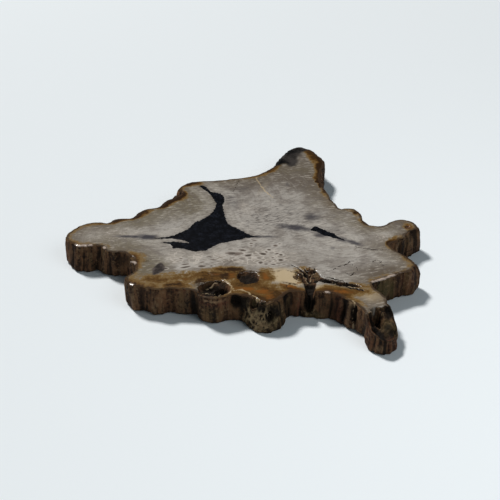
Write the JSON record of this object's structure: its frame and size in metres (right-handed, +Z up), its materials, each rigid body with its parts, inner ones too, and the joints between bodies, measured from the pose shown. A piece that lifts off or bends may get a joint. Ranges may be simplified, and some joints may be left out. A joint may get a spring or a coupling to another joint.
{
  "type": "petrified wood slab",
  "caption": "Flat cross-cut slab of petrified wood with a star-shaped, fluted bark rim, a polished top face and a sawn underside, to rest on a shelf or stand.",
  "frame": {"origin": "middle of the bounding box, on the sawn underside", "axes": "+Z up, out of the polished face; +Y to the back, along the tall spur; +X to the slab's right, away from the long west arm"},
  "size_m": [0.5384, 0.566, 0.042],
  "materials": {
    "petrified_wood": "silicified wood: a polished, grey to brown top face with a black heart, rust stains and cracks; a rough, dark brown bark wall; a matt sawn underside"
  },
  "bodies": {
    "root": {"petrified_wood_slab": "petrified_wood"}
  },
  "joints": []
}
